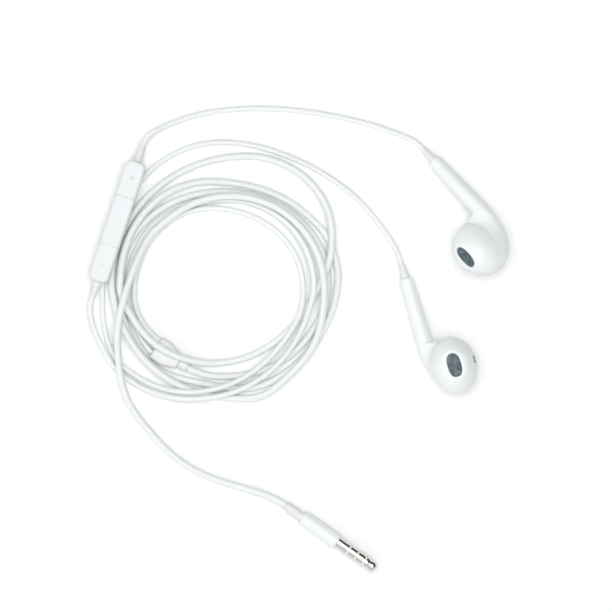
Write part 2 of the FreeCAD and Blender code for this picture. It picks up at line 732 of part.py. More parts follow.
# Cords: straight runs joined by arcs where they lie free

def tube(label, edges, diameter):
    """Pipe of one diameter along the edges, checked by its volume."""
    path = Part.Wire(edges)
    start = edges[0].valueAt(edges[0].FirstParameter)
    way = edges[0].tangentAt(edges[0].FirstParameter)
    ring = Part.Wire(Part.makeCircle(diameter / 2, start, way))
    part = doc.addObject("Part::Feature", label)
    part.Shape = path.makePipeShell([ring], True, False)
    expected = math.pi * diameter ** 2 / 4 * path.Length
    share = part.Shape.Volume / expected
    print("%s length %.1f mm, volume %.4f of section times length" % (label, path.Length, share))
    routes[label] = (edges, diameter)
    return node(label, part)


def bend(corner, before, after, reach):
    """Arc round a corner that starts and ends at one distance from it."""
    start = corner + (before - corner).normalize() * reach
    end = corner + (after - corner).normalize() * reach
    chord = (start + end) * 0.5
    out = corner - chord
    half = math.atan2(out.Length, (end - start).Length / 2)
    middle = chord + out.normalize() * (math.tan(half / 2) * (end - start).Length / 2)
    return Part.Arc(start, middle, end), reach / math.tan(half)


def free_edges(label, points):
    """Runs between hand chosen points, each corner a large arc."""
    pts = [Vec(*p) for p in points]
    edges = []
    radii = []
    last = pts[0]
    for before, corner, after in zip(pts, pts[1:], pts[2:]):
        reach = 0.45 * min((corner - before).Length, (after - corner).Length)
        arc, radius = bend(corner, before, after, reach)
        edges.append(Part.LineSegment(last, corner + (before - corner).normalize() * reach).toShape())
        edges.append(arc.toShape())
        radii.append(radius)
        last = corner + (after - corner).normalize() * reach
    edges.append(Part.LineSegment(last, pts[-1]).toShape())
    print(label, "bend radii", " ".join("%.0f" % r for r in radii))
    return edges


# Coil: each quarter turn or less is a pair of arcs between two stations
# A station is x, y, height of the cord's middle and the way it heads there

def station(entry):
    x, y, z, heading = entry
    way = Vec(math.cos(math.radians(heading)), math.sin(math.radians(heading)), 0)
    return Vec(x, y, z), way


def corner_arc(start, corner, end):
    chord = (start + end) * 0.5
    out = corner - chord
    half = math.atan2(out.Length, (end - start).Length / 2)
    middle = chord + out.normalize() * (math.tan(half / 2) * (end - start).Length / 2)
    return Part.Arc(start, middle, end).toShape()


def biarc(first, second):
    """Two arcs with equal arms that leave and arrive level."""
    p, t = station(first)
    q, s = station(second)
    v = q - p
    both = t + s
    bent = 2 * (1 - t.dot(s))
    arm = (-v.dot(both) + math.sqrt(v.dot(both) ** 2 + bent * v.dot(v))) / bent
    a = p + t * arm
    b = q - s * arm
    middle = (a + b) * 0.5
    return [corner_arc(p, a, middle), corner_arc(middle, b, q)]


def coil_edges(stations):
    edges = []
    for first, second in zip(stations, stations[1:]):
        edges += biarc(first, second)
    return edges


def least_gap(label, edges, diameter, apart):
    """Smallest air gap between stretches further apart along the cord."""
    points = []
    for edge in edges:
        points += edge.discretize(Number=max(3, int(edge.Length / 0.8)))[:-1]
    run = [0.0]
    for a, b in zip(points, points[1:]):
        run.append(run[-1] + (b - a).Length)
    least = (99.0, None, None)
    for i, a in enumerate(points):
        for j in range(i + 1, len(points)):
            if run[j] - run[i] > apart:
                least = min(least, (a.distanceToPoint(points[j]), i, j))
    spot = points[least[1]]
    print("%s least gap to itself %.2f mm near %.0f, %.0f with %d arcs"
          % (label, least[0] - diameter, spot.x, spot.y, len(edges)))


def sampled(edges, step):
    points = []
    for edge in edges:
        points += edge.discretize(Number=max(3, int(edge.Length / step)))[:-1]
    return points


def least_gaps_between():
    """Smallest air gap between cords, left out where one goes on as the next."""
    labels = list(routes)
    for i, one in enumerate(labels):
        for other in labels[i + 1:]:
            a, b = sampled(routes[one][0], 1.0), sampled(routes[other][0], 1.0)
            ends = [p for p in (a[0], a[-1]) for q in (b[0], b[-1]) if (p - q).Length < 3]
            a = [p for p in a if all((p - e).Length > 4 for e in ends)]
            room = (routes[one][1] + routes[other][1]) / 2
            gap, spot = min((p.distanceToPoint(q), k) for k, p in enumerate(a) for q in b)
            if gap - room < 3:
                print("%s to %s least gap %.2f mm near %.0f, %.0f"
                      % (one, other, gap - room, a[spot].x, a[spot].y))


MAIN_TURNS = [
    # First turn, from the splitter
    (-33.6, -29.9, 1.52, -33.7),
    (-23.2, -32.5, 1.05, 0),
    (-0.5, -24.6, 1.05, 46),
    (9.3, -4.1, 1.05, 90),
    (-23.2, 23.8, 1.05, 180),
    (-54.2, -3.2, 1.05, 270),
    # Second turn, the widest on the right
    (-53.5, -13.8, 1.05, 287),
    (-45.15, -28.85, 1.05, 320),
    (-32.95, -33.8, 1.05, 343),
    (-17.7, -36.5, 1.05, 0),
    (1.8, -26.5, 1.05, 46),
    (12.2, -2.9, 1.05, 90),
    (6.35, 13.35, 1.05, 129),
    (-26.2, 26.9, 1.05, 180),
    (-44.3, 20.0, 3.5, 221),
    (-54.2, -4.6, 3.75, 270),
    # Third turn, over the splitter and wide of the top
    (-51.8, -12.0, 3.95, 298),
    (-38.6, -25.6, 4.6, 338),
    (-24.9, -28.6, 1.05, 1),
    (2.9, -11.4, 1.05, 57),
    (9.4, 1.05, 3.8, 79),
    (10.4, 10.45, 3.6, 90),
    (-16.2, 34.6, 1.05, 180),
    (-57.0, -4.7, 1.1, 270),
    # Fourth turn, on top of the others
    (-54.9, -13.5, 3.8, 292),
    (-44.7, -29.5, 4.0, 320),
    (-27.5, -38.35, 1.05, 347),
    (-15.9, -39.3, 1.05, 0),
    (-8.0, -36.8, 2.4, 30),
    (1.4, -28.0, 3.7, 47),
    (8.0, -5.3, 6.0, 90),
    (-20.8, 22.5, 3.6, 180),
    (-42.0, 13.2, 3.9, 225),
]

LEFT_TURN = [
    (-51.7, -30.6, 0.825, -40.4),
    (-32.0, -37.3, 3.9, 0),
    (-0.45, -15.9, 3.3, 62),
    (1.65, -5.6, 2.2, 90),
    (-26.2, 18.75, 0.825, 180),
    (-49.85, -6.8, 0.825, 270),
]

REMOTE_TURN = [
    (-52.9, -32.4, 0.825, -41.6),
    (-31.4, -39.4, 3.4, 0),
    (3.8, -10.75, 3.9, 78),
    (4.9, -4.7, 3.85, 91),
    (-21.4, 21.2, 0.825, 180),
    (-40.9, 16.3, 0.825, 214),
    (-51.9, -6.2, 0.825, 270),
    (-49.3, -17.6, 0.825, 299),
]


def entry_station(side):
    """Where a thin cord meets the wide end of the splitter."""
    spot = Vec(-mm("splitter_relief_length + splitter_length"), side * mm("splitter_cord_spacing / 2"),
               mm("fit_gap + splitter_thickness / 2"))
    p = splitter_at.multVec(spot)
    return (p.x, p.y, p.z, SPLITTER_HEADING)


def straight_end(edges, length):
    """A short straight run on past the last edge, square to what it meets."""
    last = edges[-1]
    p = last.valueAt(last.LastParameter)
    way = last.tangentAt(last.LastParameter).normalize()
    return edges + [Part.LineSegment(p, p + way * length).toShape()]


def onto(entry, length):
    """The station one straight run before a meeting place."""
    x, y, z, heading = entry
    back = math.radians(heading)
    return (x - math.cos(back) * length, y - math.sin(back) * length, z, heading)


def cords():
    main, thin = mm("main_cord_diameter"), mm("thin_cord_diameter")
    x, y, z, heading = MAIN_TURNS[0]
    out = math.radians(heading)
    begin = (x + math.cos(out) * main, y + math.sin(out) * main, z, heading)
    stub = Part.LineSegment(Vec(x, y, z), Vec(begin[0], begin[1], z)).toShape()
    edges = [stub] + coil_edges([begin] + MAIN_TURNS[1:])
    least_gap("main_cord_coil", edges, main, 6 * main)
    tube("main_cord_coil", edges, main)

    for label, turns, side in (("left_cord_turn", LEFT_TURN, 1), ("remote_cord_turn", REMOTE_TURN, -1)):
        goal = entry_station(side)
        edges = straight_end(coil_edges(turns + [onto(goal, thin)]), thin)
        least_gap(label, edges, thin, 6 * thin)
        tube(label, edges, thin)

    for label, points, ends in (("main_cord_tail", TAIL, (None, plug_end())),
                                ("right_ear_cord", RIGHT_CORD, (meeting(right_relief, 1.7), meeting(upper_relief, 1.9))),
                                ("left_ear_cord", LEFT_CORD, (meeting(left_relief, 2.5), None)),
                                ("remote_cord", REMOTE_CORD, (meeting(lower_relief, 2.2), None))):
        first, last = ends
        route = list(points)
        if first:
            route = list(first) + route
        if last:
            route = route + [last[1], last[0]]
        tube(label, free_edges(label, route), main if label == "main_cord_tail" else thin)


def meeting(place, run):
    """The middle of a relief's thin end, and the route's next point."""
    return tuple(place.Base), tuple(place.multVec(Vec(0, 0, -run)))


def plug_end():
    back = -mm("plug_housing_length + plug_relief_length")
    return tuple(plug_at.multVec(Vec(0, 0, back))), tuple(plug_at.multVec(Vec(0, 0, back - 3.2)))


TAIL = [
    (-42.0, 13.2, 3.9), (-45.3, 9.9, 3.9), (-48.6, 3.2, 5.4), (-51.7, -5.3, 6.5), (-53.8, -12.9, 6.5),
    (-54.8, -19.8, 6.0), (-54.6, -26.5, 4.3), (-53.8, -32.9, 3.1), (-52.3, -38.9, 1.6), (-49.2, -44.1, 1.05),
    (-45.0, -49.2, 1.05), (-39.8, -55.0, 1.05), (-32.9, -60.2, 1.05), (-25.3, -63.7, 1.05), (-17.5, -65.9, 1.1),
    (-10.8, -67.9, 1.9),
]

RIGHT_CORD = [
    (34.8, 39.2, 0.825), (30.0, 41.1, 0.825), (24.0, 43.3, 0.825), (16.0, 45.4, 0.825), (7.0, 47.2, 0.825),
    (-2.8, 48.5, 0.825), (-13.2, 48.9, 0.825), (-22.5, 48.3, 0.825), (-30.5, 47.0, 0.9), (-36.9, 44.9, 1.5),
    (-42.2, 42.6, 3.0), (-45.2, 40.6, 3.85),
]

LEFT_CORD = [
    (28.9, 7.4, 1.3), (25.7, 12.2, 0.825), (21.1, 18.2, 0.825), (14.5, 24.4, 0.825), (5.9, 30.2, 0.825),
    (-3.2, 34.5, 0.825), (-12.9, 37.6, 0.825), (-22.3, 38.8, 0.825), (-31.1, 37.9, 0.825), (-38.3, 34.8, 0.825),
    (-44.1, 30.9, 0.825), (-48.6, 25.9, 0.825), (-52.6, 19.5, 0.825), (-56.1, 12.0, 0.825), (-58.3, 4.4, 0.825),
    (-59.3, -2.6, 0.825), (-59.5, -8.6, 0.825), (-59.3, -14.4, 0.825), (-58.5, -19.8, 0.825),
    (-56.8, -24.7, 0.825), (-54.4, -28.3, 0.825), (-51.7, -30.6, 0.825),
]

REMOTE_CORD = [
    (-63.0, -13.2, 3.7), (-62.2, -16.9, 3.3), (-60.8, -20.6, 3.0), (-58.9, -24.6, 2.4), (-57.3, -27.7, 1.4),
    (-55.6, -30.0, 0.825), (-52.9, -32.4, 0.825),
]

cords()
least_gaps_between()

# Every feature is checked before its solid is written
doc.recompute()
for thing in doc.Objects:
    if "Invalid" in thing.State or "Error" in thing.State:
        raise RuntimeError("feature failed: " + thing.Label + " " + str(thing.State))
for thing in nodes:
    shape = thing.Shape
    if shape.isNull() or not shape.isValid() or shape.Volume <= 0:
        raise RuntimeError("bad solid: " + thing.Label)
    print("%-22s solids %d  volume %8.1f  faces %d" % (thing.Label, len(shape.Solids), shape.Volume,
                                                      len(shape.Faces)))
    shape.exportStep("parts/%s.step" % thing.Label)
print("nodes", len(nodes))
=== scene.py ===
import math

import bmesh
import bpy
from mathutils import Matrix, Vector


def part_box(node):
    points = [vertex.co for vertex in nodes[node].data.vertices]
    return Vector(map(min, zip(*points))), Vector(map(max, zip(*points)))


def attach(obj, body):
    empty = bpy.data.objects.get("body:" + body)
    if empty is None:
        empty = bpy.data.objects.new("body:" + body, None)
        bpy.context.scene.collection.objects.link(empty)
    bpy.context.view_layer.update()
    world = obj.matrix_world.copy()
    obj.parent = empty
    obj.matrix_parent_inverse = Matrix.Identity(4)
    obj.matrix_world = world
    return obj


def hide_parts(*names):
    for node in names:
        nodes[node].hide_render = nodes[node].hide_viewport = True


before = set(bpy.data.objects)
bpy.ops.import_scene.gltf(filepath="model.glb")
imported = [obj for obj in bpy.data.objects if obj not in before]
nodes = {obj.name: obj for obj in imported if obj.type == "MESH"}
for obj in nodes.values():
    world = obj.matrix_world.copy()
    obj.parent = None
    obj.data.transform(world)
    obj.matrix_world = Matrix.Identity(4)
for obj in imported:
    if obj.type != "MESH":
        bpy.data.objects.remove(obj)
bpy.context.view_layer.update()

MM = 0.001

# The layout is drawn in millimetres about the coil, and then moved a little along Y
SHIFT = Vector((0, 1.67, 0))


def place(x, y, z):
    """A point of the layout, in metres."""
    return (Vector((x, y, z)) + SHIFT) * MM


def mixed(first, last, share):
    """A value that has gone this share of the way from the first to the last."""
    return first + (last - first) * share


def eased(first, last, leave, arrive, t):
    """A smooth way from the first to the last, with how fast it leaves and arrives."""
    return (first * (2 * t ** 3 - 3 * t ** 2 + 1) + last * (3 * t ** 2 - 2 * t ** 3)
            + leave * (t ** 3 - 2 * t ** 2 + t) + arrive * (t ** 3 - t ** 2))


def put(name, data):
    """A new object in the scene, at the origin."""
    made = bpy.data.objects.new(name, data)
    bpy.context.scene.collection.objects.link(made)
    return made


# Camera: straight above and far off, with a long lens that takes in the width of the photograph

CAMERA_HEIGHT = 1.6
VIEW_MIDDLE = (2.27, -11.06, 0)
PHOTO_PIXELS, PIXELS_PER_MM = 612, 3.3
SENSOR_WIDTH = 36

camera_data = bpy.data.cameras.new("camera")
camera_data.sensor_width = SENSOR_WIDTH
camera_data.lens = SENSOR_WIDTH * CAMERA_HEIGHT / (PHOTO_PIXELS / PIXELS_PER_MM * MM)
camera_data.clip_start = 0.1
camera_data.clip_end = 10
camera = put("camera", camera_data)
camera.location = place(*VIEW_MIDDLE) + Vector((0, 0, CAMERA_HEIGHT))
bpy.context.scene.camera = camera


# Materials

def linear(hex_colour):
    """An sRGB hex colour as the linear RGBA that a shader takes."""
    parts = [int(hex_colour[i:i + 2], 16) / 255 for i in (0, 2, 4)]
    return [c / 12.92 if c <= 0.04045 else ((c + 0.055) / 1.055) ** 2.4 for c in parts] + [1.0]


def finish(name):
    """An empty node material with its surface shader."""
    made = bpy.data.materials.new(name)
    made.use_nodes = True
    return made, made.node_tree.nodes["Principled BSDF"]


def add(made, kind, settings=None, inputs=None, links=None):
    """Add one node with its settings, its input values and the sockets that feed it."""
    node = made.node_tree.nodes.new(kind)
    for key, value in (settings or {}).items():
        setattr(node, key, value)
    for key, value in (inputs or {}).items():
        node.inputs[key].default_value = value
    for key, source in (links or {}).items():
        made.node_tree.links.new(source, node.inputs[key])
    return node


def feed(made, source, shader, socket):
    """Let a node's output drive a socket of the surface."""
    made.node_tree.links.new(source, shader.inputs[socket])


def per_metre(millimetres):
    """Noise scale whose grain is about this size."""
    return 1 / (millimetres * MM)


# Size of the patches over which a moulding's tone drifts
DRIFT_MM = 9


def moulded(name, base, shade, roughness, grain_mm, relief_mm, glow=0.0, glow_mm=0.0):
    """Moulded plastic or rubber: two close tones drift over it, with a fine skin that may let light in."""
    made, shader = finish(name)
    where = add(made, "ShaderNodeTexCoord")
    drift = add(made, "ShaderNodeTexNoise", inputs={"Scale": per_metre(DRIFT_MM), "Detail": 2.0},
                links={"Vector": where.outputs["Object"]})
    tone = add(made, "ShaderNodeMix", {"data_type": "RGBA"}, {6: linear(base), 7: linear(shade)},
               {0: drift.outputs[0]})
    feed(made, tone.outputs[2], shader, "Base Color")
    grain = add(made, "ShaderNodeTexNoise", inputs={"Scale": per_metre(grain_mm), "Detail": 3.0},
                links={"Vector": where.outputs["Object"]})
    bump = add(made, "ShaderNodeBump", inputs={"Strength": 0.25, "Distance": relief_mm * MM},
               links={"Height": grain.outputs[0]})
    feed(made, bump.outputs[0], shader, "Normal")
    shader.inputs["Roughness"].default_value = roughness
    shader.inputs["IOR"].default_value = 1.5
    if glow:
        shader.inputs["Subsurface Weight"].default_value = glow
        shader.inputs["Subsurface Radius"].default_value = (1, 1, 1)
        shader.inputs["Subsurface Scale"].default_value = glow_mm * MM
    return made


# White ABS shells: smooth from the mould, so a soft broad highlight and a clean cool white
shell_white = moulded("smooth_white_abs", "EBEFF0", "E7EBEC", 0.42, 0.9, 0.006)
# White ABS keys: the same plastic with a little less polish
key_white = moulded("satin_white_abs", "E4E8E9", "DFE4E6", 0.48, 0.6, 0.008)
# Pale grey paint of the marks on the keys
mark_grey = moulded("pale_grey_paint", "D4D9DB", "CED4D7", 0.6, 0.3, 0.004)
# Thermoplastic elastomer jacket: extruded, satin, cool white that takes a grey green shade
jacket_white = moulded("satin_white_tpe_jacket", "E8ECEB", "E3E8E6", 0.48, 0.5, 0.01, glow=0.5, glow_mm=1.5)
# Thermoplastic elastomer reliefs: moulded, a pale grey that lets a little light through
relief_grey = moulded("pale_grey_tpe", "E3E5E4", "DDE0DF", 0.5, 0.5, 0.012, glow=0.15, glow_mm=1.0)
# White nylon bands between the lands of the pin
band_white = moulded("white_nylon", "E9E7E0", "DEDBD3", 0.45, 0.4, 0.008)
# Green solder mask over the board's laminate: a smooth dark green lacquer
board_green = moulded("green_solder_mask", "1E4A32", "173C29", 0.35, 0.3, 0.01)
# Pale film of the diaphragm: pressed polyester, faintly glossy
film_pale = moulded("pet_film", "C9C8BE", "BDBCB2", 0.3, 0.4, 0.004)


def metal(name, colour, roughness, streak_mm):
    """Plated or bare metal with fine variation in its polish."""
    made, shader = finish(name)
    where = add(made, "ShaderNodeTexCoord")
    grain = add(made, "ShaderNodeTexNoise", inputs={"Scale": per_metre(streak_mm), "Detail": 3.0},
                links={"Vector": where.outputs["Object"]})
    shine = add(made, "ShaderNodeMapRange", inputs={"To Min": roughness * 0.8, "To Max": roughness * 1.25},
                links={"Value": grain.outputs[0]})
    feed(made, shine.outputs[0], shader, "Roughness")
    shader.inputs["Base Color"].default_value = linear(colour)
    shader.inputs["Metallic"].default_value = 1.0
    return made


# Bright nickel plate on brass: a sharp light and dark reflection along the pin
nickel = metal("bright_nickel_plate", "DCDCDA", 0.15, 0.8)
# Zinc plated steel of the driver's basket and the crimp: a dull even grey
zinc_steel = metal("zinc_plated_steel", "A9ABAA", 0.35, 0.5)
# Nickel plated magnet: darker than the pin, less polished
magnet_nickel = metal("nickel_plated_magnet", "8C8D8E", 0.28, 0.6)
# Enamelled copper winding: warm, with a soft sheen
copper = metal("enamelled_copper", "B87348", 0.38, 0.12)

# Size of the patches of painted sheen and shade over a mesh's colour, and the relief of its wires
SHEEN_MM, WEAVE_RELIEF_MM = 1.3, 0.05


def woven_mesh(name, wire, gap, pitch_mm):
    """Fine dark acoustic mesh: a square weave of wires with darker gaps, and painted sheen and shade in
    patches over its colour.
    """
    made, shader = finish(name)
    where = add(made, "ShaderNodeTexCoord")
    apart = add(made, "ShaderNodeSeparateXYZ", links={"Vector": where.outputs["Object"]})
    waves = []
    for axis in ("X", "Y"):
        turns = add(made, "ShaderNodeMath", {"operation": "MULTIPLY"}, {1: 2 * math.pi * per_metre(pitch_mm)},
                    {0: apart.outputs[axis]})
        waves.append(add(made, "ShaderNodeMath", {"operation": "SINE"}, links={0: turns.outputs[0]}))
    both = add(made, "ShaderNodeMath", {"operation": "MULTIPLY"},
               links={0: waves[0].outputs[0], 1: waves[1].outputs[0]})
    level = add(made, "ShaderNodeMapRange", inputs={"From Min": -1.0, "From Max": 1.0},
                links={"Value": both.outputs[0]})
    tone = add(made, "ShaderNodeMix", {"data_type": "RGBA"}, {6: linear(gap), 7: linear(wire)},
               {0: level.outputs[0]})
    # Painted sheen and shade: noise patches lighten and darken the weave's colour in place of real reflection
    # and shading
    patches = add(made, "ShaderNodeTexNoise", inputs={"Scale": per_metre(SHEEN_MM), "Detail": 2.0},
                  links={"Vector": where.outputs["Object"]})
    sheen = add(made, "ShaderNodeMapRange",
                inputs={"From Min": 0.35, "From Max": 0.65, "To Min": 0.55, "To Max": 1.2},
                links={"Value": patches.outputs[0]})
    painted_sheen_tone = add(made, "ShaderNodeMix", {"data_type": "RGBA", "blend_type": "MULTIPLY"}, {0: 1.0},
               {6: tone.outputs[2], 7: sheen.outputs[0]})
    feed(made, painted_sheen_tone.outputs[2], shader, "Base Color")
    bump = add(made, "ShaderNodeBump", inputs={"Strength": 0.6, "Distance": WEAVE_RELIEF_MM * MM},
               links={"Height": level.outputs[0]})
    feed(made, bump.outputs[0], shader, "Normal")
    shader.inputs["Metallic"].default_value = 0.6
    shader.inputs["Roughness"].default_value = 0.45
    return made


# Painted steel mesh behind the side slots, drawn twice as coarse as it is so that it shows
grille_dark = woven_mesh("painted_steel_mesh", "6E777E", "23282D", 0.36)
# The same mesh at its true pitch, far finer than the camera sees, over the sound ports
port_dark = woven_mesh("fine_port_mesh", "84949B", "3F4B4F", 0.16)

NODE_FINISH = {
    "plug_insulators": band_white, "plug_core": copper, "splitter_crimp": zinc_steel,
    "circuit_board": board_green, "dome_switches": nickel, "microphone": zinc_steel,
    "plug_tip": nickel, "plug_ring_one": nickel, "plug_ring_two": nickel, "plug_sleeve": nickel,
    "plug_housing": shell_white, "plug_relief": relief_grey, "remote_shell": shell_white,
    "plus_key": key_white, "centre_key": key_white, "minus_key": key_white,
    "remote_upper_relief": relief_grey, "remote_lower_relief": relief_grey,
    "splitter_body": relief_grey, "splitter_relief": relief_grey,
}
for ear in ("right", "left"):
    NODE_FINISH.update({
        ear + "_front_shell": shell_white, ear + "_rear_shell": shell_white,
        ear + "_front_grille": grille_dark, ear + "_side_grille": grille_dark,
        ear + "_driver_basket": zinc_steel, ear + "_driver_magnet": magnet_nickel,
        ear + "_pole_plate": zinc_steel, ear + "_voice_coil": copper, ear + "_diaphragm": film_pale,
        ear + "_cord_relief": relief_grey})
for name, made in NODE_FINISH.items():
    nodes[name].data.materials.clear()
    nodes[name].data.materials.append(made)


# Pieces: each rides a body, and each smooth skin is drawn over oval loops

ACROSS, ALONG, DOWN = Vector((1, 0, 0)), Vector((0, 1, 0)), Vector((0, 0, -1))
# Points in a loop, and the angle past which an edge stays crisp
AROUND = 72
CREASE = math.radians(38)


def carry(name, data, made_of, body="earphones"):
    """A new piece of one finish, on the body that carries it."""
    data.materials.append(made_of)
    made = put(name, data)
    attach(made, body)
    return made


def as_mesh(name, shape):
    """Close a shape's work and give its mesh, with its faces outwards."""
    bmesh.ops.recalc_face_normals(shape, faces=shape.faces)
    mesh = bpy.data.meshes.new(name)
    shape.to_mesh(mesh)
    shape.free()
    return mesh


def ring(middle, way, a, b, power=2.0):
    """An oval loop: half width a across the stem and b along a way, squarer for a higher power."""
    axes = Matrix((ACROSS * a, way * b, ACROSS.cross(way))).transposed().to_4x4()
    return Matrix.Translation(middle) @ axes, power


def turned_rings(profile):
    """Round loops about the Z axis, from heights and radii."""
    return [ring(Vector((0, 0, height)), ALONG, radius, radius) for height, radius in profile]


def skin(name, rings, frame_of, made_of, endless=False):
    """A smooth closed skin over the loops: its ends are capped, or meet where it is endless."""
    shape = bmesh.new()
    loops = []
    for count, (form, power) in enumerate(rings):
        capped = not endless and count in (0, len(rings) - 1)
        verts = bmesh.ops.create_circle(shape, cap_ends=capped, segments=AROUND, radius=1.0)["verts"]
        for vert in verts:
            vert.co /= (abs(vert.co.x) ** power + abs(vert.co.y) ** power) ** (1 / power)
        bmesh.ops.transform(shape, matrix=form, verts=verts)
        loops.append([shape.edges.get((verts[k - 1], verts[k])) for k in range(AROUND)])
    for one, other in zip(loops, loops[1:] + loops[:1] if endless else loops[1:]):
        bmesh.ops.bridge_loops(shape, edges=one + other)
    bmesh.ops.transform(shape, matrix=frame_of, verts=shape.verts)
    mesh = as_mesh(name, shape)
    mesh.shade_smooth()
    mesh.set_sharp_from_angle(angle=CREASE)
    return carry(name, mesh, made_of)


# Earbuds, each in its own frame: its stem along Y, its front towards Z and its head to one side

def bud_frame(x, y, z, heading, tilt, roll):
    """From an earbud's frame in millimetres to the scene in metres."""
    turn = Matrix.Rotation(math.radians(heading - 90), 4, "Z") @ Matrix.Rotation(math.radians(tilt), 4, "X")
    turn = turn @ Matrix.Rotation(math.radians(roll), 4, "Y")
    return Matrix.Scale(MM, 4) @ Matrix.Translation(Vector((x, y, z)) + SHIFT) @ turn


BUDS = {"right": (1, bud_frame(60.5, 11.9, 8.87, -47.2, 13.0, 45.0)),
        "left": (-1, bud_frame(40.7, -31.0, 3.21, -73.7, 2.0, 0.0))}

# The head is an egg whose middle lies beside and before the stem's axis
HALF_WIDTH, HALF_HEIGHT, HALF_DEPTH = 7.0, 8.75, 8.5
HEAD_OFFSET, HEAD_FORWARD, HEAD_WALL = 6.5, 5.0, 1.0
# Where the two shells meet, and the shallow groove there
SEAM, SEAM_GROOVE, SEAM_GAP = 4.4, 0.12, 0.02
SEAM_LEVEL = (SEAM - HEAD_FORWARD) / HALF_DEPTH
# The stem widens from the cord's end to the crook, where the neck begins to turn
CROOK = 9.3
STEM_LENGTH, STEM_END, STEM_TOP, STEM_ROUND = 29.6, 2.15, 2.6, 0.7
BORE, BORE_DEPTH = 1.1, 2.2
# Sections of the neck: the angle each is turned from the stem to the seam, and how far its inner,
# outer, near and far edges have gone from the stem's to the head's
NECK = [
    (0, 0.0, 0.0, 0.0, 0.0), (14, 0.16, 0.03, 0.01, 0.10), (30, 0.37, 0.13, 0.03, 0.33),
    (41, 0.53, 0.264, 0.06, 0.58), (50, 0.65, 0.42, 0.14, 0.77), (64, 0.77, 0.725, 0.38, 0.90),
    (72, 0.85, 0.870, 0.60, 0.95), (81, 0.93, 0.955, 0.84, 0.985), (90, 1.0, 1.0, 1.0, 1.0),
]


def neck_slope(row, edge):
    """How fast an edge's share grows at a row of the table, not at all at its ends."""
    if row in (0, len(NECK) - 1):
        return 0.0
    before, after = NECK[row - 1], NECK[row + 1]
    return (after[edge] - before[edge]) / (after[0] - before[0])


def neck_shares(angle):
    """The shares of the four edges at an angle, on a smooth curve through the table."""
    row = max(k for k in range(len(NECK) - 1) if NECK[k][0] <= angle)
    here, there = NECK[row], NECK[row + 1]
    span = there[0] - here[0]
    return [eased(here[edge], there[edge], neck_slope(row, edge) * span, neck_slope(row + 1, edge) * span,
                  (angle - here[0]) / span) for edge in range(1, 5)]


def neck_ring(side, angle, inset=0.0):
    """Section of the neck, turned about the crook."""
    inner, outer, near, far = neck_shares(angle)
    share = math.sqrt(1 - SEAM_LEVEL ** 2)
    wide, tall = HALF_WIDTH * share, HALF_HEIGHT * share
    low = mixed(SEAM - STEM_TOP, CROOK - tall, inner)
    high = mixed(SEAM + STEM_TOP, CROOK + tall, outer)
    left = mixed(-STEM_TOP, HEAD_OFFSET - wide, near)
    right = mixed(STEM_TOP, HEAD_OFFSET + wide, far)
    turn = math.radians(angle)
    way = Vector((0, math.sin(turn), -math.cos(turn)))
    middle = Vector((side * (left + right) / 2, -CROOK, SEAM)) + way * ((low + high) / 2)
    return ring(middle, way, (right - left) / 2 - inset, (high - low) / 2 - inset)


def head_ring(side, level, wall=0.0, inset=0.0, lift=0.0):
    """Level loop of the head's egg, drawn in by a wall."""
    share = math.sqrt(1 - level ** 2)
    middle = Vector((side * HEAD_OFFSET, 0, HEAD_FORWARD + (HALF_DEPTH - wall) * level + lift))
    return ring(middle, ALONG, (HALF_WIDTH - wall) * share - inset, (HALF_HEIGHT - wall) * share - inset)


# Level of the hollow's edge at the seam, and how much further down the hollow goes
HOLLOW_TOP, HOLLOW_DEEP = -0.08, 0.9
# Loops round the end of the stem, along it and down the hollow, and degrees between the neck's
ROUND_STEPS, STEM_STEPS, HOLLOW_STEPS = 6, 16, 13
NECK_STEP, NECK_LAST = 1.5, 89.2


def rear_rings(side):
    """From the bore at the cord end over the stem and neck to the seam, then the hollow inside."""
    end = -STEM_LENGTH
    rings = [ring(ALONG * y, DOWN, BORE, BORE) for y in (end + BORE_DEPTH, end)]
    for k in range(ROUND_STEPS + 1):
        t = math.pi / 2 * k / ROUND_STEPS
        r = STEM_END - STEM_ROUND * (1 - math.sin(t))
        rings.append(ring(ALONG * (end + STEM_ROUND * (1 - math.cos(t))), DOWN, r, r))
    for k in range(1, STEM_STEPS):
        t = k / STEM_STEPS
        r = mixed(STEM_END, STEM_TOP, t)
        rings.append(ring(ALONG * mixed(end + STEM_ROUND, -CROOK, t), DOWN, r, r))
    rings += [neck_ring(side, NECK_STEP * k) for k in range(round(90 / NECK_STEP))]
    rings += [neck_ring(side, NECK_LAST), neck_ring(side, 90, SEAM_GROOVE)]
    for k in range(HOLLOW_STEPS + 1):
        down = HOLLOW_DEEP * math.sin(math.pi / 2 * k / HOLLOW_STEPS)
        rings.append(head_ring(side, HOLLOW_TOP - down, HEAD_WALL))
    return rings


# The sound port is an oval, a little square, in a raised rim, with the mesh just below
PORT_WIDE, PORT_TALL, PORT_POWER = 2.05, 3.6, 2.5
RIM_TOP, RIM_ROUND = 12.35, 0.3
MESH_TOP, MESH_THICK, MESH_DOME, MESH_PLAY = 11.9, 0.35, 0.2, 0.02
# Half sizes of the small flat that closes the middle of the mesh's back
MESH_BACK = (0.1, 0.18)
# Level of the shoulder, where the egg turns to the port, and where the egg starts above the groove
SHOULDER, SEAM_EDGE = 0.8, 0.02
# Loops up the inner wall, over the egg, up to the port, round its rim and over the mesh
WALL_STEPS, EGG_STEPS, RISE_STEPS, RIM_STEPS, DOME_STEPS = 8, 30, 12, 6, 11


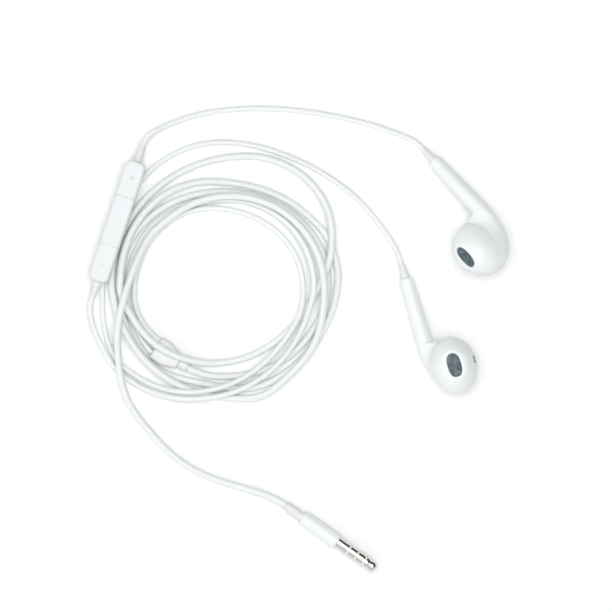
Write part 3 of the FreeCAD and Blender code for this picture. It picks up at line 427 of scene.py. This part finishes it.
def front_rings(side):
    """From the hollow inside over the seam and the head to the rounded rim and wall of the port."""
    rings = [head_ring(side, mixed(SHOULDER, HOLLOW_TOP, k / WALL_STEPS), HEAD_WALL)
             for k in range(WALL_STEPS + 1)]
    rings.append(head_ring(side, SEAM_LEVEL, inset=SEAM_GROOVE, lift=SEAM_GAP))
    first, last = math.asin(SEAM_LEVEL + SEAM_EDGE), math.asin(SHOULDER)
    rings += [head_ring(side, math.sin(mixed(first, last, k / EGG_STEPS))) for k in range(EGG_STEPS + 1)]
    middle = Vector((side * HEAD_OFFSET, 0, 0))
    share = math.sqrt(1 - SHOULDER ** 2)
    for k in range(1, RISE_STEPS + 1):
        t = k / RISE_STEPS
        height = mixed(HEAD_FORWARD + HALF_DEPTH * SHOULDER, RIM_TOP, 1 - (1 - t) ** 2)
        rings.append(ring(middle - DOWN * height, ALONG, mixed(HALF_WIDTH * share, PORT_WIDE + RIM_ROUND, t),
                          mixed(HALF_HEIGHT * share, PORT_TALL + RIM_ROUND, t), mixed(2.0, PORT_POWER, t)))
    for k in range(1, RIM_STEPS + 1):
        t = math.pi / 2 * k / RIM_STEPS
        away = RIM_ROUND * (1 - math.sin(t))
        rings.append(ring(middle - DOWN * (RIM_TOP - RIM_ROUND * (1 - math.cos(t))), ALONG,
                          PORT_WIDE + away, PORT_TALL + away, PORT_POWER))
    rings.append(ring(middle - DOWN * (MESH_TOP - MESH_THICK), ALONG, PORT_WIDE, PORT_TALL, PORT_POWER))
    return rings


def port_rings(side):
    """A thin oval of mesh, its front a little domed."""
    middle = Vector((side * HEAD_OFFSET, 0, MESH_TOP))
    wide, tall = PORT_WIDE - MESH_PLAY, PORT_TALL - MESH_PLAY
    rings = [ring(middle + DOWN * MESH_THICK, ALONG, a, b, PORT_POWER) for a, b in (MESH_BACK, (wide, tall))]
    for k in range(DOME_STEPS):
        share = math.cos(math.pi / 2 * k / DOME_STEPS)
        rings.append(ring(middle - DOWN * MESH_DOME * (1 - share ** 2), ALONG, wide * share, tall * share,
                          PORT_POWER))
    return rings


# The side slot starts this far forward of the stem's axis
SLOT_TALL, SLOT_DEEP, SLOT_START = 2.1, 3.4, 5.6


def slotted(piece, side, frame_of):
    """Cut the side slot through a front skin."""
    block = bmesh.new()
    bmesh.ops.create_cube(block, size=1.0)
    spot = Vector((side * (HEAD_OFFSET + HALF_WIDTH), 0, SLOT_START + SLOT_DEEP / 2))
    size = Matrix.Diagonal((HALF_WIDTH, SLOT_TALL, SLOT_DEEP, 1))
    bmesh.ops.transform(block, matrix=frame_of @ Matrix.Translation(spot) @ size, verts=block.verts)
    cutter = put("slot_cutter", as_mesh("slot_cutter", block))
    cut = piece.modifiers.new("slot", "BOOLEAN")
    cut.operation, cut.solver, cut.object = "DIFFERENCE", "EXACT", cutter
    bpy.context.view_layer.update()
    whole = bpy.data.meshes.new_from_object(piece.evaluated_get(bpy.context.evaluated_depsgraph_get()))
    piece.modifiers.remove(cut)
    piece.data = whole
    bpy.data.objects.remove(cutter)


for ear, (side, frame_of) in BUDS.items():
    rear = skin(ear + "_rear_skin", rear_rings(side), frame_of, shell_white)
    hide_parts(ear + "_rear_shell")
    front = skin(ear + "_front_skin", front_rings(side), frame_of, shell_white, endless=True)
    slotted(front, side, frame_of)
    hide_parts(ear + "_front_shell")
    port = skin(ear + "_port_mesh", port_rings(side), frame_of, port_dark)
    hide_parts(ear + "_front_grille")


# Remote: pale webs in the two seams between the keys, and the plus and minus marks

REMOTE = (Matrix.Scale(MM, 4) @ Matrix.Translation(Vector((-54.7, 14.5, 0)) + SHIFT)
          @ Matrix.Rotation(math.radians(71.6), 4, "Z"))
REMOTE_LENGTH, REMOTE_WIDTH, END_KEY = 38.0, 6.2, 11.3
KEY_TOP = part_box("plus_key")[1][2] / MM
# The webs are a little shorter than the remote is wide, and their middles lie under the keys' tops
WEB_THICK, WEB_TALL, WEB_SHORT, WEB_UNDER = 0.12, 0.6, 1.6, 0.36
MARK_LONG, MARK_WIDE, MARK_TALL, MARK_AT = 1.5, 0.28, 0.05, 13.8
BAR_ROUND = 0.02


def bars(name, boxes, made_of, body):
    """Thin bars with softened edges on the remote, each a middle and three sizes in its frame."""
    shape = bmesh.new()
    for middle, size in boxes:
        verts = bmesh.ops.create_cube(shape, size=1.0)["verts"]
        form = REMOTE @ Matrix.Translation(middle) @ Matrix.Diagonal((*size, 1))
        bmesh.ops.transform(shape, matrix=form, verts=verts)
    bmesh.ops.bevel(shape, geom=list(shape.edges), offset=BAR_ROUND * MM, segments=2, affect="EDGES")
    carry(name, as_mesh(name, shape), made_of, body)


seam_at = REMOTE_LENGTH / 2 - END_KEY
web = (WEB_THICK, REMOTE_WIDTH - WEB_SHORT, WEB_TALL)
bars("key_webs", [(Vector((way * seam_at, 0, KEY_TOP - WEB_UNDER)), web) for way in (1, -1)],
     key_white, "earphones")
stroke_along, stroke_across = (MARK_LONG, MARK_WIDE, MARK_TALL), (MARK_WIDE, MARK_LONG, MARK_TALL)
plus_at, minus_at = Vector((MARK_AT, 0, KEY_TOP)), Vector((-MARK_AT, 0, KEY_TOP))
bars("plus_mark", [(plus_at, stroke_along), (plus_at, stroke_across)], mark_grey, "plus_key")
bars("minus_mark", [(minus_at, stroke_across)], mark_grey, "minus_key")


# Plug: a tip turned with a waist and a blunt round nose

PLUG_FRAME = (Matrix.Scale(MM, 4) @ Matrix.Translation(Vector((11.8, -82.4, 2.42)) + SHIFT)
              @ Matrix.Rotation(math.radians(-35.2), 4, "Z") @ Matrix.Rotation(math.radians(90), 4, "Y"))
PIN_LENGTH, TIP_LENGTH = 14.0, 3.7
# Share of the tip's length, and the radius there
TIP_PROFILE = [(0.0, 1.75), (0.2, 1.75), (0.23, 1.72), (0.31, 1.56), (0.36, 1.5), (0.41, 1.53), (0.52, 1.68),
               (0.58, 1.71), (0.7, 1.7), (0.82, 1.62), (0.91, 1.45), (0.965, 1.18), (0.99, 0.85), (1.0, 0.4)]
tip_turning = [(PIN_LENGTH + TIP_LENGTH * (share - 1), radius) for share, radius in TIP_PROFILE]
tip = skin("plug_tip_skin", turned_rings(tip_turning), PLUG_FRAME, nickel)
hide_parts("plug_tip")

# Its relief: a nearly straight sleeve with a soft lip where the cord goes in
RELIEF_LENGTH, HOUSING_LENGTH = 6.0, 13.0
SLEEVE_PROFILE = [(0.05, 1.06), (0.0, 1.12), (0.0, 1.3), (0.02, 1.38), (0.06, 1.43), (0.3, 1.46), (0.6, 1.5),
                  (0.97, 1.55), (1.0, 1.55)]
sleeve_turning = [(RELIEF_LENGTH * (share - 1) - HOUSING_LENGTH, radius) for share, radius in SLEEVE_PROFILE]
sleeve = skin("plug_sleeve_skin", turned_rings(sleeve_turning), PLUG_FRAME, relief_grey)
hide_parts("plug_relief")


# Cords: the points of each route, in the layout's millimetres

RIGHT_CORD = [
    (37.99, 36.21, 1.22), (36.86, 37.42, 0.84), (34.8, 39.2, 0.825), (30.0, 41.1, 0.825),
    (24.0, 43.3, 0.825), (16.0, 45.4, 0.825), (7.0, 47.2, 0.825), (-2.8, 48.5, 0.825),
    (-13.2, 48.9, 0.825), (-22.5, 48.3, 0.825), (-30.5, 47.0, 0.9), (-36.9, 44.9, 1.5),
    (-42.2, 42.6, 3.0), (-45.2, 40.6, 3.85), (-46.59, 38.89, 4.0), (-47.19, 37.08, 4.0),
]

LEFT_CORD = [
    (31.16, 1.61, 2.02), (30.46, 4.01, 1.94), (28.9, 7.4, 1.3), (25.7, 12.2, 0.825), (21.1, 18.2, 0.825),
    (14.5, 24.4, 0.825), (5.9, 30.2, 0.825), (-3.2, 34.5, 0.825), (-12.9, 37.6, 0.825),
    (-22.3, 38.8, 0.825), (-31.1, 37.9, 0.825), (-38.3, 34.8, 0.825), (-44.1, 30.9, 0.825),
    (-48.6, 25.9, 0.825), (-52.6, 19.5, 0.825), (-56.1, 12.0, 0.825), (-58.3, 4.4, 0.825),
    (-59.3, -2.6, 0.825), (-59.5, -8.6, 0.825), (-59.3, -14.4, 0.825), (-58.5, -19.8, 0.825),
    (-56.8, -24.7, 0.825), (-54.4, -28.3, 0.825),
]

REMOTE_CORD = [
    (-62.21, -8.08, 4.0), (-62.91, -10.17, 4.0), (-63.0, -13.2, 3.7), (-62.2, -16.9, 3.3),
    (-60.8, -20.6, 3.0), (-58.9, -24.6, 2.4), (-57.3, -27.7, 1.4), (-55.6, -30.0, 0.825),
]

MAIN_TAIL = [
    (-45.3, 9.9, 3.9), (-48.6, 3.2, 5.4), (-51.7, -5.3, 6.5), (-53.8, -12.9, 6.5), (-54.8, -19.8, 6.0),
    (-54.6, -26.5, 4.3), (-53.8, -32.9, 3.1), (-52.3, -38.9, 1.6), (-49.2, -44.1, 1.05),
    (-45.0, -49.2, 1.05), (-39.8, -55.0, 1.05), (-32.9, -60.2, 1.05), (-25.3, -63.7, 1.05),
    (-17.5, -65.9, 1.1), (-10.8, -67.9, 1.9), (-6.34, -69.60, 2.42), (-3.73, -71.45, 2.42),
]

# Turns round the coil: a station's place, and the heading of the cord there in degrees
LEFT_TURN = [
    (-51.7, -30.6, 0.825, -40.4), (-32.0, -37.3, 3.9, 0), (-0.45, -15.9, 3.3, 62), (1.65, -5.6, 2.2, 90),
    (-26.2, 18.75, 0.825, 180), (-49.85, -6.8, 0.825, 270), (-42.03, -21.63, 1.52, -33.7),
]
REMOTE_TURN = [
    (-52.9, -32.4, 0.825, -41.6), (-31.4, -39.4, 3.4, 0), (3.8, -10.75, 3.9, 78), (4.9, -4.7, 3.85, 91),
    (-21.4, 21.2, 0.825, 180), (-40.9, 16.3, 0.825, 214), (-51.9, -6.2, 0.825, 270),
    (-49.3, -17.6, 0.825, 299), (-44.47, -25.29, 1.52, -33.7),
]
MAIN_TURNS = [
    (-33.6, -29.9, 1.52, -33.7), (-23.2, -32.5, 1.05, 0), (-0.5, -24.6, 1.05, 46), (9.3, -4.1, 1.05, 90),
    (-23.2, 23.8, 1.05, 180), (-54.2, -3.2, 1.05, 270), (-53.5, -13.8, 1.05, 287),
    (-45.15, -28.85, 1.05, 320), (-32.95, -33.8, 1.05, 343), (-17.7, -36.5, 1.05, 0),
    (1.8, -26.5, 1.05, 46), (12.2, -2.9, 1.05, 90), (6.35, 13.35, 1.05, 129), (-26.2, 26.9, 1.05, 180),
    (-44.3, 20.0, 3.5, 221), (-54.2, -4.6, 3.75, 270), (-51.8, -12.0, 3.95, 298),
    (-38.6, -25.6, 4.6, 338), (-24.9, -28.6, 1.05, 1), (2.9, -11.4, 1.05, 57), (9.4, 1.05, 3.8, 79),
    (10.4, 10.45, 3.6, 90), (-16.2, 34.6, 1.05, 180), (-57.0, -4.7, 1.1, 270), (-54.9, -13.5, 3.8, 292),
    (-44.7, -29.5, 4.0, 320), (-27.5, -38.35, 1.05, 347), (-15.9, -39.3, 1.05, 0), (-8.0, -36.8, 2.4, 30),
    (1.4, -28.0, 3.7, 47), (8.0, -5.3, 6.0, 90), (-20.8, 22.5, 3.6, 180), (-42.0, 13.2, 3.9, 225),
]
POINTS_PER_TURN = 24


def wound(stations):
    """Points round a coil, from station to station."""
    points = []
    for (x, y, z, heading), (x2, y2, z2, heading2) in zip(stations, stations[1:]):
        turn = (math.radians(heading2 - heading) + math.pi) % (2 * math.pi) - math.pi
        first, last = Vector((x, y, z)), Vector((x2, y2, z2))
        leave = Vector((math.cos(math.radians(heading)), math.sin(math.radians(heading)), 0))
        arrive = Vector((math.cos(math.radians(heading2)), math.sin(math.radians(heading2)), 0))
        reach = (last - first).length
        if abs(turn) > 0.01:
            reach *= 2 * math.tan(turn / 4) / math.sin(turn / 2)
        steps = max(1, round(abs(turn) / (2 * math.pi) * POINTS_PER_TURN))
        points += [eased(first, last, leave * reach, arrive * reach, k / steps) for k in range(steps)]
    points.append(Vector(stations[-1][:3]))
    return [tuple(point) for point in points]


def lay_cord(name, points, diameter):
    """One smooth round cord through the route's points."""
    curve = bpy.data.curves.new(name, "CURVE")
    curve.dimensions = "3D"
    spline = curve.splines.new("NURBS")
    spline.points.add(len(points) - 1)
    for point, spot in zip(spline.points, points):
        point.co = (*place(*spot), 1.0)
    spline.order_u = 3
    spline.use_endpoint_u = True
    spline.resolution_u = 6
    curve.bevel_depth = diameter / 2 * MM
    curve.bevel_resolution = 6
    curve.use_fill_caps = True
    return carry(name, curve, jacket_white)


MAIN, THIN = 2.1, 1.65
right_cord = lay_cord("right_ear_lead", RIGHT_CORD, THIN)
left_cord = lay_cord("left_ear_lead", LEFT_CORD + wound(LEFT_TURN), THIN)
remote_cord = lay_cord("remote_lead", REMOTE_CORD + wound(REMOTE_TURN), THIN)
main_cord = lay_cord("main_lead", wound(MAIN_TURNS) + MAIN_TAIL, MAIN)
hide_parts("right_ear_cord")
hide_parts("left_ear_cord", "left_cord_turn")
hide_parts("remote_cord", "remote_cord_turn")
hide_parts("main_cord_coil", "main_cord_tail")


# Floor: a wide white sheet, a hair below the cords

FLOOR_HALF, FLOOR_DROP = 3.0, 0.00001
sheet = bmesh.new()
bmesh.ops.create_grid(sheet, x_segments=1, y_segments=1, size=FLOOR_HALF)
floor_mesh = bpy.data.meshes.new("floor")
sheet.to_mesh(floor_mesh)
sheet.free()
floor_white, floor_shader = finish("white_paper_sweep")
floor_shader.inputs["Base Color"].default_value = linear("F9F9F9")
floor_shader.inputs["Roughness"].default_value = 0.9
floor_mesh.materials.append(floor_white)
floor = put("floor", floor_mesh)
floor.location.z = -FLOOR_DROP


# Lights: a square soft box above, and a white tent, a little dimmer low down, which stands open,
# and so is dark, towards the upper right

BOX_AT, BOX_SIZE, BOX_POWER = Vector((0.08, 0.1, 1.2)), 0.8, 9.3
HIGH, LOW_GLOW, HIGH_GLOW = 0.9, 0.68, 0.85
OPEN_SIDE, OPEN_GLOW = 0.6, 0.12

box_light = bpy.data.lights.new("top_box", "AREA")
box_light.size = BOX_SIZE
box_light.energy = BOX_POWER
top_box = put("top_box", box_light)
top_box.location = BOX_AT
top_box.rotation_euler = (-BOX_AT).to_track_quat("-Z", "Y").to_euler()

world = bpy.data.worlds.new("studio")
bpy.context.scene.world = world
world.use_nodes = True
sky = add(world, "ShaderNodeTexCoord")
apart = add(world, "ShaderNodeSeparateXYZ", links={"Vector": sky.outputs["Generated"]})
height = add(world, "ShaderNodeMapRange",
             inputs={"From Min": 0.0, "From Max": HIGH, "To Min": LOW_GLOW, "To Max": HIGH_GLOW},
             links={"Value": apart.outputs["Z"]})
side_on = add(world, "ShaderNodeMath", {"operation": "ADD"},
              links={0: apart.outputs["X"], 1: apart.outputs["Y"]})
tent = add(world, "ShaderNodeMapRange",
           inputs={"From Min": 0.0, "From Max": OPEN_SIDE, "To Min": 1.0, "To Max": OPEN_GLOW},
           links={"Value": side_on.outputs[0]})
both = add(world, "ShaderNodeMath", {"operation": "MULTIPLY"},
           links={0: height.outputs[0], 1: tent.outputs[0]})
background = world.node_tree.nodes["Background"]
background.inputs[0].default_value = (1, 1, 1, 1)
feed(world, both.outputs[0], background, "Strength")
bpy.context.scene.view_settings.view_transform = "Standard"
